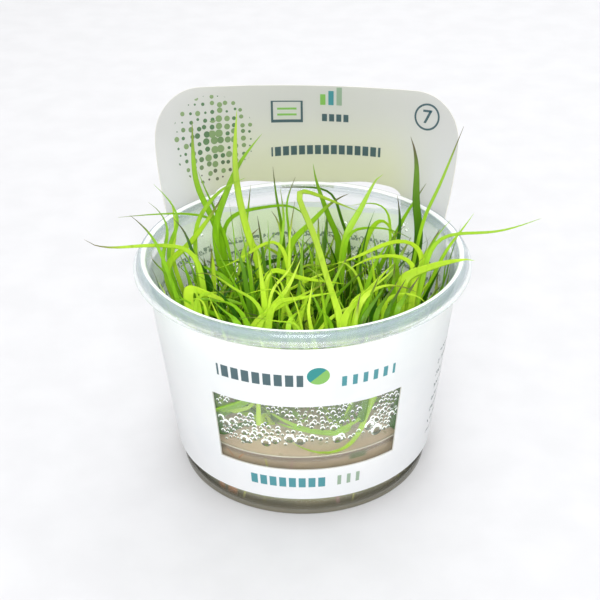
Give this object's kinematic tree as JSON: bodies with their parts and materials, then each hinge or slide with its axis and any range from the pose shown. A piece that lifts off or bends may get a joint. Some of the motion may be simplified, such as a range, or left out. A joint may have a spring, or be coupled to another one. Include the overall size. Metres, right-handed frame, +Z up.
{
  "type": "creeping rush in a tissue culture cup",
  "caption": "Clear open cup holding grass-like rush plantlets rooted in gel, wrapped by a white card sleeve with a window and a tall curved header behind the rim.",
  "frame": {"origin": "centre of the cup's flat base", "axes": "+Z up the cup's axis, -Y out through the window in the card, +X to the right seen from the window"},
  "size_m": [0.132, 0.1005, 0.108],
  "materials": {
    "clear_cup": "clear glossy polypropylene with a faint blue-grey tint",
    "printed_card": "smooth white coated card with printed marks",
    "gel": "cloudy olive-brown growing gel, wet",
    "leaf": "satin yellow-green leaf"
  },
  "bodies": {
    "root": {"cup": "clear_cup", "card_sleeve": "printed_card", "growing_gel": "gel", "plantlet_left": "leaf", "plantlet_back_left": "leaf", "plantlet_back": "leaf", "plantlet_back_right": "leaf", "plantlet_right": "leaf", "plantlet_front_right": "leaf", "plantlet_front": "leaf", "plantlet_front_left": "leaf", "plantlet_side_left": "leaf", "plantlet_middle_left": "leaf", "plantlet_middle_right": "leaf"}
  },
  "joints": []
}
